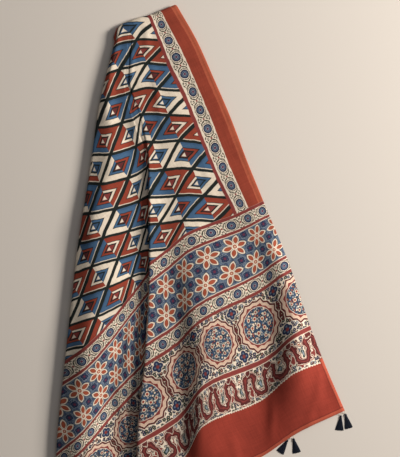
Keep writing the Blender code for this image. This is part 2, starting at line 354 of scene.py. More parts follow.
@dataclass
class LaidCloth:
    """The sheet of cotton: its sizes, its shape as it lies, and its mesh."""

    width: float = 910.0
    length: float = 1900.0
    thickness: float = 0.9
    shoulder_level: float = -18.0
    hem_level: float = 943.0
    back_end_level: float = 915.0
    top_height: float = 9.8
    under_height: float = 6.8
    back_under_height: float = 3.8
    back_height: float = 0.45
    fold_centre: float = 5.3
    shoulder_bulge: float = 1.6
    shoulder_print: float = 11.0
    back_inset: float = 10.0
    back_fold_inset: float = 3.0
    under_share: float = 0.85
    lip_depth: float = 4.4
    lip_reach: float = 3.0
    hidden_reach: float = 10.0
    heel_inset: float = 18.0
    tuck_start: float = 240.0
    tuck_full: float = 330.0
    front_rows: int = 216
    shoulder_rows: int = 10
    back_rows: int = 20
    turn_steps: int = 8
    under_steps: int = 8
    hem_width: float = 9.0
    hem_rise: float = 0.5
    ripple: float = 0.9
    ripple_size: float = 70.0
    shift: Vector = field(default_factory=lambda: Vector((0.0, 0.0, 0.0)))

    def fold_point(self, name: str, level: float) -> np.ndarray:
        """Find where a fold line crosses a level.

        Args:
            name: Name of the fold line.
            level: Level on the flat cloth.

        Returns:
            Its u, right, down and rise.
        """
        return steep_curve(LEVELS, FOLD_LINES[name], level)[0]

    def run_points(self, course: Sequence[tuple[str, int]], level: float) -> np.ndarray:
        """Run smoothly through the fold lines of a course at one level.

        Args:
            course: Names of fold lines, with the mesh steps to each.
            level: Level on the flat cloth.

        Returns:
            One row of u, right, down and rise for each point.
        """
        knots = np.array([self.fold_point(name, level) for name, _ in course])
        reach = np.hypot(*np.diff(knots[:, 1:3], axis=0).T)
        places = np.concatenate([[0.0], np.cumsum(np.maximum(reach, 0.5))])
        at = [0.0]
        for (start, end), (_, steps) in zip(zip(places[:-1], places[1:]), course[1:]):
            at.extend(start + (end - start) * (k + 1) / steps for k in range(steps))
        return steep_curve(places, knots, at)

    def tuck_points(self, lip: np.ndarray, under: np.ndarray, before: np.ndarray, opened: float) -> np.ndarray:
        """Lead the tuck from its lip, back under the cloth to its heel, and out to the left layer.

        Args:
            lip: Last point of the right layer.
            under: First point of the left layer.
            before: A point of the right layer a little before the lip.
            opened: 0 where the cloth only slopes down, 1 where the tuck is pressed in.

        Returns:
            The points between lip and under.
        """
        right = before[1:3] - lip[1:3]
        right = right / np.linalg.norm(right)
        hidden = (under[0] - lip[0]) / 2
        deep = min(self.lip_depth, (lip[3] - under[3]) / 2)
        towards_hem = np.array([-right[1], right[0]])
        heel = lip[1:3] + right * max(hidden, self.hidden_reach) - towards_hem * self.heel_inset
        course = [lip]
        for index, (reach, depth, end) in enumerate(TUCK_COURSE):
            share = (index + 1) / (len(TUCK_COURSE) + 1)
            plain = lip + (under - lip) * share
            if end == "lip":
                place = lip[1:3] + right * (reach - 1.0) * self.lip_reach
                rise = lip[3] - depth * deep
            else:
                place = heel + right * reach * self.lip_reach
                rise = under[3] + depth * deep
            right_down = plain[1:3] + (place - plain[1:3]) * opened
            course.append(np.array([plain[0], *right_down, rise]))
        course.append(under)
        course = np.array(course)
        reach = np.linalg.norm(np.diff(course[:, 1:], axis=0), axis=1)
        places = np.concatenate([[0.0], np.cumsum(np.maximum(reach, 0.2))])
        knots = np.interp(np.arange(1, TUCK_STEPS) / TUCK_STEPS * (len(course) - 1), range(len(course)), places)
        return steep_curve(places, course, knots)

    def under_points(self, row: np.ndarray, height_gap: float) -> np.ndarray:
        """Turn the cloth under at the left fold and lay its last width below a row.

        Args:
            row: Points of the row above, without its tuck.
            height_gap: How far lower the width under it lies.

        Returns:
            The points of the turn and of the width under the row.
        """
        left_end = row[-1]
        back = row[::-1, 1:3]
        reach = np.concatenate([[0.0], np.cumsum(np.hypot(*np.diff(back, axis=0).T))])
        width = min(self.width - left_end[0], self.under_share * reach[-1])
        inward = (back[1] - back[0]) / reach[1]
        radius = height_gap / 2
        points = []
        for k in range(1, self.turn_steps + 1):
            angle = math.pi * k / self.turn_steps
            place = left_end[1:3] - inward * abs(radius) * math.sin(angle)
            points.append([left_end[0], place[0], place[1], left_end[3] - radius * (1 - math.cos(angle))])
        for k in range(1, self.under_steps + 1):
            right, down = (np.interp(width * k / self.under_steps, reach, back[:, axis]) for axis in (0, 1))
            share = left_end[0] + (self.width - left_end[0]) * k / self.under_steps
            points.append([share, right, down, left_end[3] - height_gap])
        return np.array(points)

    def surface_rise(self, u: float, level: float) -> float:
        """Rise of the top layer from its creases, its ripple and its doubled hems.

        Args:
            u: Width from the long edge.
            level: Level on the flat cloth.

        Returns:
            The rise, which is never below zero.
        """
        rise = self.ripple * (0.5 + 0.5 * noise.noise(Vector((u, level * 0.6, 0.0)) / self.ripple_size))
        for centre_u, centre_level, half_length, heading, height, half_width in CREASES:
            angle = math.radians(heading)
            far, along_level = u - centre_u, level - centre_level
            along = (far * math.cos(angle) + along_level * math.sin(angle)) / half_length
            across = (along_level * math.cos(angle) - far * math.sin(angle)) / half_width
            across += 0.7 * math.sin(2.2 * along)
            if abs(along) < 1.6 and abs(across) < 3.0:
                rise += height * math.exp(-(across**2)) * math.exp(-2.0 * along**2)
        edge = min(u, self.hem_level - level)
        return rise + self.hem_rise * (1.0 - smooth_step(self.hem_width - 2.0, self.hem_width, edge))

    def front_row(self, level: float) -> np.ndarray:
        """Lay one row of the front half.

        Args:
            level: Level on the flat cloth.

        Returns:
            Right layer, tuck, left layer, turn and the width turned under.
        """
        right = self.run_points(RIGHT_RUN, level)
        left = self.run_points(LEFT_RUN, level)
        opened = smooth_step(self.tuck_start, self.tuck_full, level)
        tuck = self.tuck_points(right[-1], left[0], right[-8], opened)
        for part in (right, tuck, left):
            part[:, 3] += self.top_height
        under = self.under_points(np.vstack([right, left]), left[-1, 3] - self.under_height)
        for part in (right, left):
            part[:, 3] += [self.surface_rise(u, level) for u in part[:, 0]]
        return np.vstack([right, tuck, left, under])

    def back_row(self, level: float) -> np.ndarray:
        """Lay one row of the back half, flat and a little inside the front half.

        Args:
            level: Level of the front half's row that it lies under.

        Returns:
            Its points, the turn and the width turned under.
        """
        row = self.run_points(BACK_RUN, level)
        chord = row[-1, 1:3] - row[0, 1:3]
        span = np.linalg.norm(chord)
        along = (row[:, 1:3] - row[0, 1:3]) @ chord / span**2
        inset = (self.back_inset - (self.back_inset + self.back_fold_inset) * along) / span
        row[:, 1:3] += np.outer(inset, chord)
        row[:, 3] = self.back_height
        return np.vstack([row, self.under_points(row, self.back_height - self.back_under_height)])

    def shoulder_row(self, turn: float) -> np.ndarray:
        """Lay one row of the turn over the shoulder line.

        Args:
            turn: 0 in front, 1 at the back.

        Returns:
            The row's points.
        """
        front = self.front_row(self.shoulder_level)
        back = self.back_row(self.shoulder_level)
        angle = math.pi * turn
        mix = (1 - math.cos(angle)) / 2
        row = front + (back - front) * mix
        front_lift = front[:, 3] - self.fold_centre
        back_lift = self.fold_centre - back[:, 3]
        lift = front_lift + (back_lift - front_lift) * mix
        chord = front[0, 1:3] - front[len(front) - self.turn_steps - self.under_steps - 1, 1:3]
        outward = np.array([chord[1], -chord[0]]) / np.linalg.norm(chord)
        if outward[1] > 0:
            outward = -outward
        row[:, 1:3] += np.outer(lift * self.shoulder_bulge * math.sin(angle), outward)
        row[:, 3] = self.fold_centre + lift * math.cos(angle)
        return row

    def rows(self) -> tuple[np.ndarray, np.ndarray]:
        """Lay the whole sheet, from the end hem over the shoulder to the end of the back half.

        Returns:
            The rows of points, and each row's level on the print.
        """
        levels = np.linspace(self.hem_level, self.shoulder_level, self.front_rows + 1)
        rows = [self.front_row(level) for level in levels]
        printed = list(levels)
        for k in range(self.shoulder_rows):
            turn = (k + 1) / self.shoulder_rows
            rows.append(self.shoulder_row(turn))
            printed.append(self.shoulder_level - self.shoulder_print * math.sin(math.pi * turn))
        back_levels = np.linspace(self.shoulder_level, self.back_end_level, self.back_rows + 1)[1:]
        stretch = (self.hem_level - self.shoulder_level) / (self.back_end_level - self.shoulder_level)
        for level in back_levels:
            rows.append(self.back_row(level))
            printed.append(self.shoulder_level + (level - self.shoulder_level) * stretch)
        return np.array(rows), np.array(printed)

    def to_world(self, point: np.ndarray) -> Vector:
        """Give the place in Blender of a point of u, right, down and height."""
        return Vector((point[1] * MM, -point[2] * MM, point[3] * MM)) + self.shift

    def find_shift(self, rows: np.ndarray) -> None:
        """Find the move that sets the sheet on its solid's place.

        Args:
            rows: Rows of the sheet before the move.
        """
        low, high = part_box("cloth")
        points = rows[:, :, 1:].reshape(-1, 3) * [MM, -MM, MM]
        own_low, own_high = points.min(axis=0), points.max(axis=0)
        middle = (low + high) / 2 - Vector((own_low + own_high) / 2)
        own_bottom = own_low[2] - self.thickness * MM / 2
        self.shift = Vector((middle.x, middle.y, low.z - own_bottom))

    def build(self) -> bpy.types.Object:
        """Build the sheet as one mesh with its thickness, its print map and its baking map.

        Returns:
            The cloth's object.
        """
        rows, printed = self.rows()
        self.find_shift(rows)
        count_down, count_across = rows.shape[:2]
        bm = bmesh.new()
        bmesh.ops.create_grid(bm, x_segments=count_across - 1, y_segments=count_down - 1, size=0.5)
        print_map = bm.loops.layers.uv.new("print")
        bake_map = bm.loops.layers.uv.new("OFBake")
        shown_rows = self.front_rows + 1
        for face in bm.faces:
            for loop in face.loops:
                column = round((loop.vert.co.x + 0.5) * (count_across - 1))
                row = round((loop.vert.co.y + 0.5) * (count_down - 1))
                loop[print_map].uv = (rows[row, column, 0] * MM, printed[row] * MM)
                hidden = max(row - shown_rows + 1, 0) / (count_down - shown_rows)
                shown = min(row, shown_rows - 1) / (shown_rows - 1)
                loop[bake_map].uv = (column / (count_across - 1), 0.85 * shown + 0.15 * hidden)
        for vert in bm.verts:
            column = round((vert.co.x + 0.5) * (count_across - 1))
            row = round((vert.co.y + 0.5) * (count_down - 1))
            vert.co = self.to_world(rows[row, column])
        mesh = bpy.data.meshes.new("ajrakh_cloth")
        bm.to_mesh(mesh)
        bm.free()
        mesh.shade_smooth()
        cloth = bpy.data.objects.new("ajrakh_cloth", mesh)
        bpy.context.scene.collection.objects.link(cloth)
        solidify = cloth.modifiers.new("Thickness", "SOLIDIFY")
        solidify.thickness = self.thickness * MM
        solidify.offset = 0.0
        return cloth

    def hem_point(self, u: float) -> np.ndarray:
        """Find the point of the front half's end hem that lies at u, seen from above.

        Args:
            u: Width from the long edge.

        Returns:
            Its u, right, down and height.
        """
        row = self.front_row(self.hem_level)
        top = row[: len(row) - self.under_steps - self.turn_steps]
        u = min(max(u, top[0, 0]), top[-1, 0])
        after = int(np.clip(np.searchsorted(top[:, 0], u), 1, len(top) - 1))
        before = after - 1
        share = (u - top[before, 0]) / (top[after, 0] - top[before, 0])
        return top[before] + (top[after] - top[before]) * share


class Dye(Enum):
    """Dyes of the block print, and the bare cotton, as sRGB hex colours."""

    MADDER = "#94402F"
    MADDER_LIGHT = "#B35A41"
    MADDER_DARK = "#863C38"
    RUST = "#963A2D"
    RUST_LIGHT = "#B45540"
    RUST_DARK = "#7E3128"
    ORANGE_BROWN = "#A5533A"
    INDIGO = "#466586"
    INDIGO_SHADE = "#395270"
    INDIGO_DEEP = "#272F4C"
    SLATE = "#5F6E80"
    SLATE_DARK = "#434F66"
    SLATE_LIGHT = "#8D96A0"
    IRON_BLACK = "#1F2523"
    OLIVE_BLACK = "#33352A"
    BOTTLE_GREEN = "#2B3C34"
    MAROON = "#602C2B"
    PLUM = "#66344A"
    PINK = "#D8B7A0"
    COTTON = "#EADAC6"


@dataclass(frozen=True)
class PrintLayout:
    """Sizes of the block print on the flat cloth, in millimetres."""

    cloth_width: float = 910.0
    side_rust: float = 42.0
    side_light: float = 14.0
    end_light: float = 6.5
    side_strip_centre: float = 58.0
    side_line_start: float = 74.5
    side_end: float = 82.0
    field_end: float = 442.0
    diamond_u: float = 122.0
    diamond_level: float = 259.0
    diamond_half_width: float = 61.5
    diamond_half_length: float = 30.5
    dot_pitch: float = 42.0
    side_dot_level: float = 424.0
    end_dot_u: float = 12.0
    star_level: float = 535.0
    star_rows_apart: float = 26.0
    star_pitch: float = 58.0
    star_u: float = 51.0
    strip_centre: float = 72.5
    medallion_level: float = 687.0
    medallion_pitch: float = 108.0
    floret_start: float = 628.0
    line_level: float = 754.5
    line_half: float = 4.5
    scroll_level: float = 790.0
    scroll_pitch: float = 50.0
    scroll_height: float = 21.0
    scroll_wide: float = 15.0
    band_start: float = 821.0
    hem_level: float = 943.0
    hem_width: float = 9.0


# Shares and dyes of the little flowers, on the bare ground and inside the medallions.
GROUND_POSIES = (
    (0.0, Dye.INDIGO_DEEP),
    (0.35, Dye.BOTTLE_GREEN),
    (0.6, Dye.SLATE_DARK),
    (0.75, Dye.MAROON),
    (0.9, Dye.SLATE_LIGHT),
)
BAR_POSIES = ((0.0, Dye.MADDER_DARK), (0.5, Dye.COTTON), (0.62, Dye.BOTTLE_GREEN), (0.8, Dye.MADDER))
MEDALLION_POSIES = (
    (0.0, Dye.SLATE_LIGHT),
    (0.3, Dye.COTTON),
    (0.5, Dye.INDIGO_DEEP),
    (0.65, Dye.MADDER_DARK),
    (0.8, Dye.SLATE_LIGHT),
)


@dataclass
class BlockPrint:
    """The ajrakh block print, drawn with nodes from distances in millimetres."""

    tree: bpy.types.NodeTree
    layout: PrintLayout = PrintLayout()
    soft_edge: float = 0.5

    def add(self, kind: str, inputs: Any = (), **settings: Any) -> bpy.types.NodeSocket:
        """Add one node to this print's tree."""
        return add_node(self.tree, kind, inputs, **settings)

    def stamp(self, ground: Any, dye: Any, distance: Any, reach: float = 0.0) -> bpy.types.NodeSocket:
        """Stamp a dye over the ground wherever a distance is below a reach.

        Args:
            ground: Colour below.
            dye: Dye or colour on top.
            distance: Distance in millimetres.
            reach: Where the dye ends.

        Returns:
            The colour of both.
        """
        over = linear(dye.value) if isinstance(dye, Dye) else dye
        edges = {"From Min": reach + self.soft_edge, "From Max": reach - self.soft_edge}
        inked = self.add("MapRange", {"Value": distance, **edges})
        return self.add("Mix", {"Factor": inked, 6: ground, 7: over}, output=2, data_type="RGBA")

    def leaf(self, place: Any, centre: tuple[float, float], angle: float, half: tuple[float, float]) -> Any:
        """Measure how far a place is outside a leaf with two pointed ends.

        Args:
            place: Place on the print, as a vector.
            centre: Middle of the leaf.
            angle: Direction of its length, in degrees.
            half: Half its length and half its width.

        Returns:
            The distance, below zero inside the leaf.
        """
        half_length, half_width = half
        sagitta = (half_length**2 - half_width**2) / (2 * half_width)
        moved = self.add("VectorMath", (place, (*centre, 0.0)), operation="SUBTRACT")
        turned = self.add("Mapping", {"Vector": moved, "Rotation": (0.0, 0.0, -math.radians(angle))})
        folded = self.add("VectorMath", (turned,), operation="ABSOLUTE")
        pushed = self.add("VectorMath", (folded, (0.0, sagitta, 0.0)), operation="ADD")
        radius = self.add("VectorMath", (pushed,), operation="LENGTH", output="Value")
        return self.add("Math", (radius, half_width + sagitta), operation="SUBTRACT")

    def parts(self, place: Any) -> tuple[bpy.types.NodeSocket, bpy.types.NodeSocket]:
        """Give the first two numbers of a vector."""
        return tuple(self.add("SeparateXYZ", (place,), output=axis) for axis in ("X", "Y"))

    def petals(self, x: Any, y: Any, count: int, turn: float = 0.0) -> tuple[Any, Any]:
        """Fold a place around a centre into one of its equal petals.

        Args:
            x: Place along the width from the centre.
            y: Place along the length from the centre.
            count: Number of petals.
            turn: Direction of the first petal, in degrees.

        Returns:
            The folded place as a vector, and the radius.
        """
        flat = self.add("CombineXYZ", (x, y))
        radius = self.add("VectorMath", (flat,), operation="LENGTH", output="Value")
        angle = self.add("Math", (y, x), operation="ARCTAN2")
        turned = self.add("Math", (angle, -math.radians(turn)), operation="ADD")
        half = math.pi / count
        wrapped = self.add("Math", (turned, half, -half), operation="WRAP")
        along = self.add("Math", (wrapped,), operation="COSINE")
        across = self.add("Math", (wrapped,), operation="SINE")
        unit = self.add("CombineXYZ", (along, across))
        return self.add("VectorMath", {0: unit, "Scale": radius}, operation="SCALE"), radius

    def rings(self, radius: Any, widest: float, stops: Sequence[tuple[float, Dye]]) -> bpy.types.NodeSocket:
        """Colour rings around a centre.

        Args:
            radius: Distance from the centre.
            widest: Radius at the end of the ramp.
            stops: Inner radius and dye of each ring.

        Returns:
            The colour.
        """
        share = self.add("Math", (radius, widest), operation="DIVIDE")
        return self.add("ValToRGB", (share,), stops=[(r / widest, dye.value) for r, dye in stops])

    def diamonds(self, place: Any) -> bpy.types.NodeSocket:
        """Draw the diamond field: split diamonds in three dyes, one inside the other, in a black grid.

        Args:
            place: Place on the print in millimetres.

        Returns:
            The colour.
        """
        size = self.layout
        side = 2 * size.diamond_half_width * size.diamond_half_length
        side /= math.hypot(size.diamond_half_width, size.diamond_half_length)
        vertex = (size.diamond_u, size.diamond_level, 0.0)
        moved = self.add("VectorMath", (place, vertex), operation="SUBTRACT")
        halves = (size.diamond_half_width, size.diamond_half_length)
        scale = (*(1 / (half * math.sqrt(2)) for half in halves), 1.0)
        lattice = {"Vector": moved, "Rotation": (0.0, 0.0, -math.pi / 4), "Scale": scale}
        cells = self.add("Mapping", lattice)
        index = self.add("VectorMath", (cells,), operation="FLOOR")
        row = self.add("Math", self.parts(index), operation="ADD")
        kind = self.add("Math", (self.add("Math", (row, 2.0), operation="ADD"), 3.0), operation="FLOORED_MODULO")
        inside = self.add("VectorMath", (cells,), operation="FRACTION")
        inside = self.add("VectorMath", (inside, (0.5, 0.5, 0.5)), operation="SUBTRACT")
        inside = self.add("VectorMath", {0: inside, "Scale": side}, operation="SCALE")
        x, y = self.parts(inside)
        lean = self.add("Math", (x, y), operation="SUBTRACT")
        drop = self.add("Math", (x, y), operation="ADD")
        far_x = self.add("Math", (x,), operation="ABSOLUTE")
        far_y = self.add("Math", (y,), operation="ABSOLUTE")
        ring = self.add("Math", (far_x, far_y), operation="MAXIMUM")
        half = self.add("Math", (lean, 0.0), operation="LESS_THAN")
        inner = self.add("Math", (ring, 13.4), operation="LESS_THAN")
        step = self.add("Math", (half, inner), operation="ADD")
        step = self.add("Math", (step, kind), operation="ADD")
        step = self.add("Math", (step, 3.0), operation="FLOORED_MODULO")
        dyes = ((0.0, Dye.INDIGO), (0.75, Dye.MADDER), (1.75, Dye.COTTON))
        colour = self.rings(step, 3.0, dyes)
        # The blue is printed twice, so it is darker along the outside of its half.
        blue = self.add("Math", (step, 0.5), operation="LESS_THAN")
        outside = self.add("Math", (21.0, ring), operation="SUBTRACT")
        outside = self.add("Math", (outside, self.add("Math", (1.0, blue), operation="SUBTRACT")), operation="MAXIMUM")
        shaded = self.add("Math", (self.add("Math", (blue, -40.0, 40.0), operation="MULTIPLY_ADD"), outside), operation="ADD")
        colour = self.stamp(colour, Dye.INDIGO_SHADE, shaded)
        core_dyes = ((0.0, Dye.MADDER_DARK), (0.75, Dye.INDIGO_SHADE), (1.75, Dye.MAROON))
        colour = self.stamp(colour, self.rings(kind, 3.0, core_dyes), ring, 7.4)
        for edge, half_width in ((13.4, 0.7), (7.4, 1.35)):
            off = self.add("Math", (ring, edge), operation="SUBTRACT")
            off = self.add("Math", (off,), operation="ABSOLUTE")
            colour = self.stamp(colour, Dye.IRON_BLACK, off, half_width)
        below = self.add("Math", (0.8, lean), operation="SUBTRACT")
        triangle = self.add("Math", (self.add("Math", (ring, 4.4), operation="SUBTRACT"), below), operation="MAXIMUM")
        colour = self.stamp(colour, Dye.COTTON, triangle)
        gap_x = self.add("Math", (side / 2 - 2.9, far_x), operation="SUBTRACT")
        gap_y = self.add("Math", (side / 2 - 4.0, far_y), operation="SUBTRACT")
        gap = self.add("Math", (gap_x, gap_y), operation="MINIMUM")
        above = self.add("Math", (drop, 0.0), operation="LESS_THAN")
        hair = self.add("Math", (above, 20.0, gap), operation="MULTIPLY_ADD")
        colour = self.stamp(colour, Dye.COTTON, hair, 1.6)
        return self.stamp(colour, Dye.IRON_BLACK, gap)

    def dotted_strip(self, along: Any, across: Any) -> bpy.types.NodeSocket:
        """Draw a cream strip with round rosettes, and dark leaves between them.

        Args:
            along: Place along the strip from one rosette's centre.
            across: Place across the strip from its middle.

        Returns:
            The colour.
        """
        pitch = self.layout.dot_pitch
        x = self.add("Math", (along, pitch / 2, -pitch / 2), operation="WRAP")
        far_x = self.add("Math", (x,), operation="ABSOLUTE")
        away = self.add("Math", (pitch / 2, far_x), operation="SUBTRACT")
        far_y = self.add("Math", (across,), operation="ABSOLUTE")
        corner = self.add("CombineXYZ", (away, far_y))
        colour = linear(Dye.COTTON.value)
        leaves = (
            ((5.0, 4.2), 62.0, (5.4, 1.5)),
            ((9.4, 9.4), 24.0, (4.4, 1.3)),
            ((3.4, 12.4), -24.0, (3.6, 1.2)),
            ((1.6, 7.8), 80.0, (2.8, 1.1)),
            ((9.2, 2.0), 84.0, (3.2, 1.0)),
        )
        for centre, angle, half in leaves:
            colour = self.stamp(colour, Dye.OLIVE_BLACK, self.leaf(corner, centre, angle, half))
        bud = self.add("VectorMath", (corner,), operation="LENGTH", output="Value")
        colour = self.stamp(colour, Dye.MADDER_DARK, bud, 2.2)
        folded, radius = self.petals(x, across, 12)
        bulge = self.add("VectorMath", (folded, (10.0, 0.0, 0.0)), operation="DISTANCE", output="Value")
        rosette = (
            (0.0, Dye.PLUM),
            (2.6, Dye.SLATE_LIGHT),
            (3.8, Dye.INDIGO_DEEP),
            (5.0, Dye.SLATE),
            (6.8, Dye.INDIGO_DEEP),
            (9.8, Dye.COTTON),
        )
        colour = self.stamp(colour, Dye.OLIVE_BLACK, bulge, 3.2)
        colour = self.stamp(colour, Dye.COTTON, bulge, 1.9)
        return self.stamp(colour, self.rings(radius, 12.0, rosette), radius, 10.9)

    def stars(self, u: Any, y: Any) -> bpy.types.NodeSocket:
        """Draw two rows of six-petalled stars on indigo, with rosettes between them.

        Args:
            u: Width from the long edge.
            y: Level from the middle of the panel.

        Returns:
            The colour.
        """
        size = self.layout
        pitch = size.star_pitch
        lower = self.add("Math", (y, 0.0), operation="GREATER_THAN")
        start = self.add("Math", (u, size.star_u), operation="SUBTRACT")
        start = self.add("Math", (lower, -pitch / 2, start), operation="MULTIPLY_ADD")
        x = self.add("Math", (start, pitch / 2, -pitch / 2), operation="WRAP")
        far_y = self.add("Math", (y,), operation="ABSOLUTE")
        row = self.add("Math", (far_y, size.star_rows_apart), operation="SUBTRACT")
        place = self.add("CombineXYZ", (x, row))
        blot = self.add("TexNoise", {"Vector": place, "Scale": 0.09, "Detail": 1.0})
        blot = self.add("Math", (blot, 0.48), operation="SUBTRACT")
        blot = self.add("Math", (blot, 30.0), operation="MULTIPLY")
        colour = self.stamp(linear(Dye.SLATE_DARK.value), Dye.SLATE, blot)
        speck = self.add("TexNoise", {"Vector": place, "Scale": 0.4, "Detail": 1.0})
        speck = self.add("Math", (0.64, speck), operation="SUBTRACT")
        speck = self.add("Math", (speck, 12.0), operation="MULTIPLY")
        colour = self.stamp(colour, Dye.SLATE_LIGHT, speck)
        corner = self.add("VectorMath", (place,), operation="ABSOLUTE")
        corner_x, corner_y = self.parts(corner)
        corner_x = self.add("Math", (corner_x, pitch / 2), operation="SUBTRACT")
        corner_y = self.add("Math", (corner_y, pitch * 0.3), operation="SUBTRACT")
        folded, radius = self.petals(corner_x, corner_y, 5)
        lobe = self.add("VectorMath", (folded, (4.8, 0.0, 0.0)), operation="DISTANCE", output="Value")
        colour = self.stamp(colour, Dye.SLATE_LIGHT, lobe, 4.6)
        colour = self.stamp(colour, Dye.INDIGO_DEEP, lobe, 3.9)
        colour = self.stamp(colour, Dye.SLATE_DARK, lobe, 1.6)
        colour = self.stamp(colour, Dye.INDIGO_DEEP, radius, 4.2)
        colour = self.stamp(colour, Dye.PLUM, radius, 3.0)
        folded, radius = self.petals(x, row, 6)
        outline = self.leaf(folded, (15.4, 0.0), 0.0, (11.6, 6.6))
        colour = self.stamp(colour, Dye.IRON_BLACK, outline, 0.9)
        colour = self.stamp(colour, Dye.COTTON, outline)
        petal = self.leaf(folded, (15.0, 0.0), 0.0, (8.6, 4.6))
        colour = self.stamp(colour, Dye.MADDER_DARK, petal)
        colour = self.stamp(colour, Dye.ORANGE_BROWN, petal, -1.0)
        heart = ((0.0, Dye.PINK), (1.9, Dye.ORANGE_BROWN), (4.1, Dye.COTTON))
        return self.stamp(colour, self.rings(radius, 12.0, heart), radius, 6.4)

    def florets(self, u: Any, level: Any, pitch: float) -> bpy.types.NodeSocket:
        """Scatter small dark florets on bare cotton in staggered rows.

        Args:
            u: Width from the long edge.
            level: Level on the cloth.
            pitch: Distance between florets.

        Returns:
            The colour.
        """
        place = self.add("CombineXYZ", (u, level))
        return self.posies(place, linear(Dye.COTTON.value), pitch, 0.5, GROUND_POSIES)

    def posies(self, place: Any, ground: Any, pitch: float, reach: float, dyes: Any) -> bpy.types.NodeSocket:
        """Strew uneven little flowers over a ground, each with a light eye and a dye of its own.

        Args:
            place: Place on the print, as a vector.
            ground: Colour or dye below.
            pitch: Distance between flowers.
            reach: Radius of a flower as a share of the pitch.
            dyes: Shares and dyes that the flowers are picked from.

        Returns:
            The colour.
        """
        cells = {"Vector": place, "Scale": 1 / pitch, "Randomness": 0.75}
        near = self.add("TexVoronoi", cells, output="Distance", voronoi_dimensions="2D")
        pick = self.add("TexVoronoi", cells, output="Color", voronoi_dimensions="2D")
        pick = self.add("SeparateXYZ", (pick,), output="X")
        blot = self.add("TexNoise", {"Vector": place, "Scale": 0.45, "Detail": 1.0})
        far = self.add("Math", (near, pitch), operation="MULTIPLY")
        wobbly = self.add("Math", (blot, pitch * 0.6, far), operation="MULTIPLY_ADD")
        edge = pitch * (reach + 0.3)
        colour = self.stamp(ground, Dye.IRON_BLACK, wobbly, edge)
        colour = self.stamp(colour, self.rings(pick, 1.0, dyes), wobbly, edge - 0.9)
        return self.stamp(colour, Dye.PINK, far, pitch * 0.1)

    def medallions(self, u: Any, level: Any) -> bpy.types.NodeSocket:
        """Draw lobed medallions with floral middles, joined by maroon bars, on a floret ground.

        Args:
            u: Width from the long edge.
            level: Level on the cloth.

        Returns:
            The colour.
        """
        size = self.layout
        pitch = size.medallion_pitch
        colour = self.florets(u, level, 7.6)
        x = self.add("Math", (u, pitch / 2, -pitch / 2), operation="WRAP")
        y = self.add("Math", (level, size.medallion_level), operation="SUBTRACT")
        far_x = self.add("Math", (x,), operation="ABSOLUTE")
        away = self.add("Math", (pitch / 2, far_x), operation="SUBTRACT")
        far_y = self.add("Math", (y,), operation="ABSOLUTE")
        corner_y = self.add("Math", (far_y, 45.0), operation="SUBTRACT")
        folded, radius = self.petals(away, corner_y, 4)
        lobe = self.add("VectorMath", (folded, (6.2, 0.0, 0.0)), operation="DISTANCE", output="Value")
        colour = self.stamp(colour, Dye.COTTON, lobe, 7.0)
        colour = self.stamp(colour, Dye.INDIGO_DEEP, lobe, 5.9)
        colour = self.stamp(colour, Dye.SLATE, lobe, 2.0)
        colour = self.stamp(colour, Dye.MADDER_DARK, radius, 3.6)
        bar_length = self.add("Math", (far_y, 21.0), operation="SUBTRACT")
        bar_width = self.add("Math", (away, 11.5), operation="SUBTRACT")
        bar = self.add("Math", (bar_length, bar_width), operation="MAXIMUM")
        place = self.add("CombineXYZ", (u, level))
        in_bar = self.posies(place, linear(Dye.MAROON.value), 6.6, 0.3, BAR_POSIES)
        colour = self.stamp(colour, in_bar, bar)
        folded, radius = self.petals(x, y, 8)
        lobe_x, lobe_y = self.parts(folded)
        scallop = self.add("Math", (lobe_y,), operation="ABSOLUTE")
        lobed = self.add("Math", (scallop, 0.06, lobe_x), operation="MULTIPLY_ADD")
        fine, _ = self.petals(x, y, 16)
        _, fine_y = self.parts(fine)
        fine_y = self.add("Math", (fine_y,), operation="ABSOLUTE")
        lobed = self.add("Math", (fine_y, 0.34, lobed), operation="MULTIPLY_ADD")
        frame_rings = (
            (0.0, Dye.MADDER_DARK),
            (40.8, Dye.COTTON),
            (41.4, Dye.PINK),
            (46.4, Dye.COTTON),
            (47.0, Dye.MAROON),
            (51.0, Dye.COTTON),
        )
        colour = self.stamp(colour, self.rings(lobed, 60.0, frame_rings), lobed, 52.4)
        disc = self.posies(place, linear(Dye.INDIGO_SHADE.value), 5.6, 0.52, MEDALLION_POSIES)
        disc = self.medallion_flowers(disc, x, y)
        colour = self.stamp(colour, Dye.COTTON, radius, 36.4)
        return self.stamp(colour, disc, radius, 35.4)

    def medallion_flowers(self, colour: Any, x: Any, y: Any) -> bpy.types.NodeSocket:
        """Set rings of small flowers into a medallion.

        Args:
            colour: Colour below the flowers.
            x: Place along the width from the medallion's centre.
            y: Place along the length from it.

        Returns:
            The colour.
        """
        flowers = (
            (5, 0.0, 15.5, 4.2, 2.8, Dye.MADDER),
            (7, 10.0, 26.5, 3.6, 2.4, Dye.MADDER_DARK),
            (1, 0.0, 0.0, 4.4, 2.6, Dye.MADDER),
        )
        for count, turn, reach, outer, inner, dye in flowers:
            folded, _ = self.petals(x, y, count, turn)
            off = self.add("VectorMath", (folded, (reach, 0.0, 0.0)), operation="DISTANCE", output="Value")
            colour = self.stamp(colour, Dye.IRON_BLACK, off, outer + 0.9)
            colour = self.stamp(colour, Dye.COTTON, off, outer)
            colour = self.stamp(colour, dye, off, inner)
        return colour

